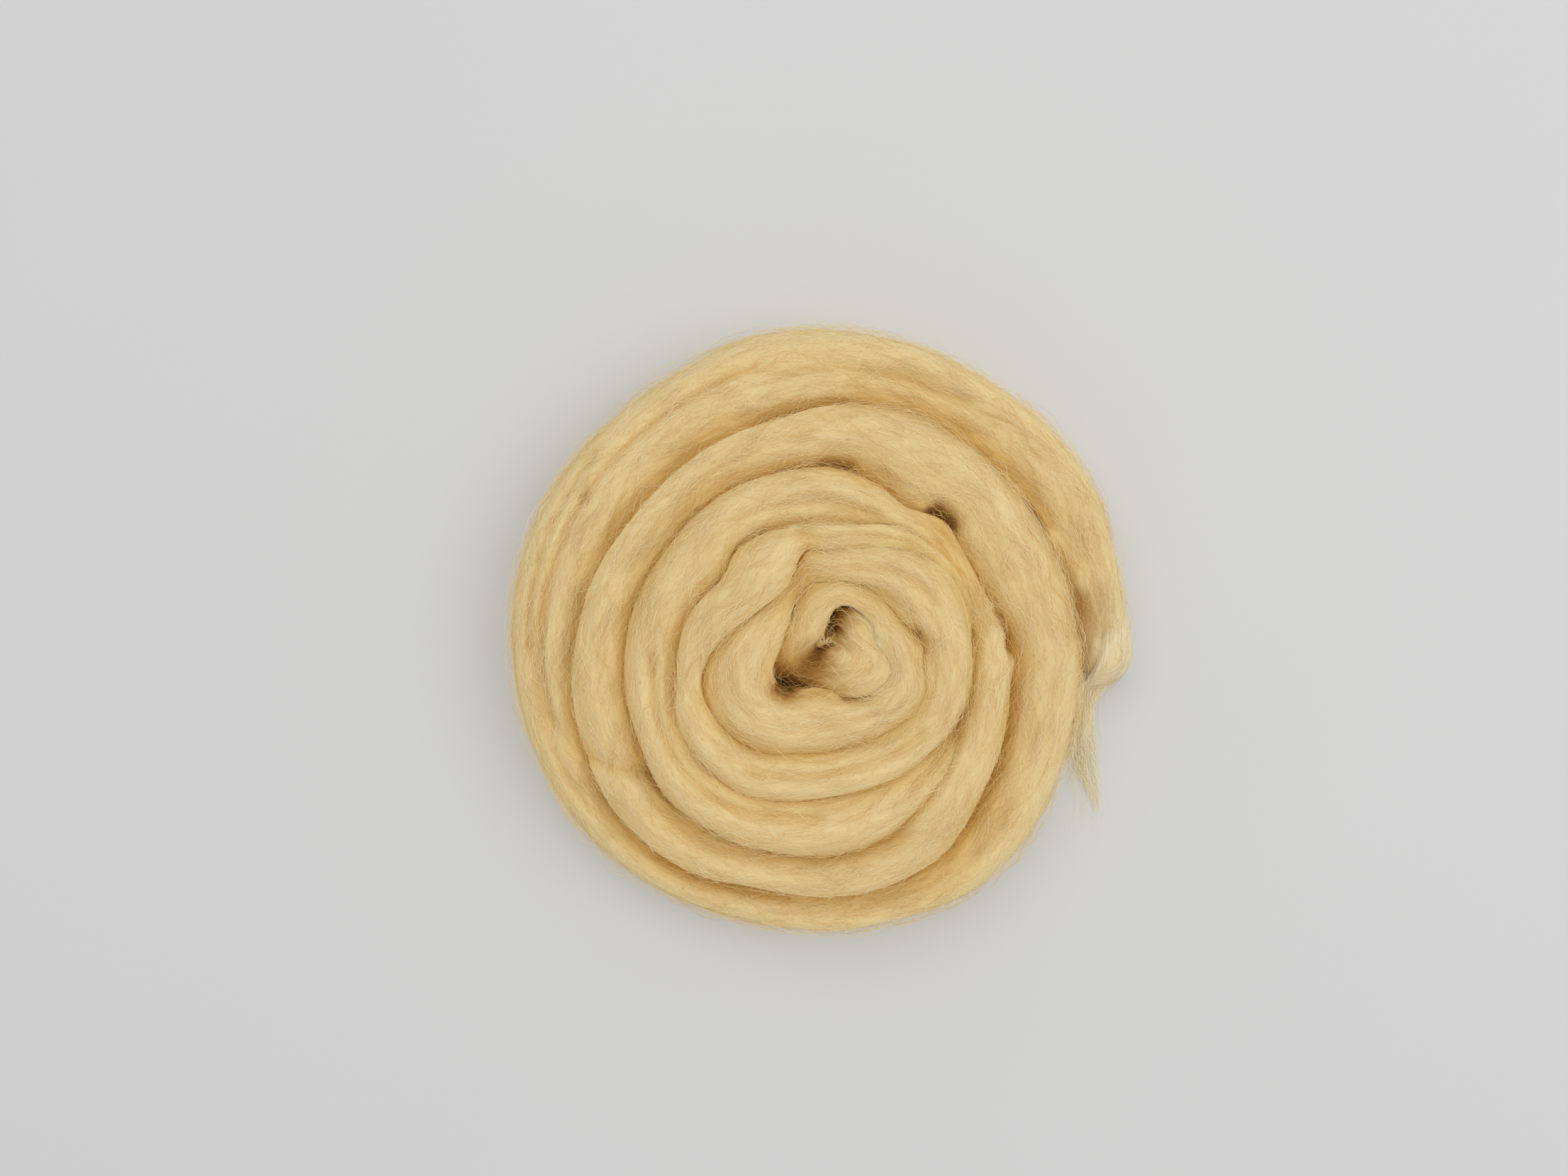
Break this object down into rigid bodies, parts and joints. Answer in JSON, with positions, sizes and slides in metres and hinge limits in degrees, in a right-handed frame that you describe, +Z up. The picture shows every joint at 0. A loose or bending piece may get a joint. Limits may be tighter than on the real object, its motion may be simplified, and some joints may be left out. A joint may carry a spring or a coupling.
{
  "type": "wool roving coil",
  "caption": "Soft untwisted strand of combed cream wool wound into a flat spiral coil, with its outer end run out into a loose wisp, for spinning or felting.",
  "frame": {"origin": "middle of the whole part's bounding box in plan, on the flat base that the coil rests on", "axes": "+Z up, along the axis that the strand is wound round; the strand's outer end and its loose wisp are on the +X side, and the wisp runs towards -Y"},
  "size_m": [0.1586, 0.1546, 0.0412],
  "materials": {
    "wool": "undyed cream wool fibre, matt with a soft sheen"
  },
  "bodies": {
    "root": {"wound_roving": "wool", "loose_end": "wool"}
  },
  "joints": []
}
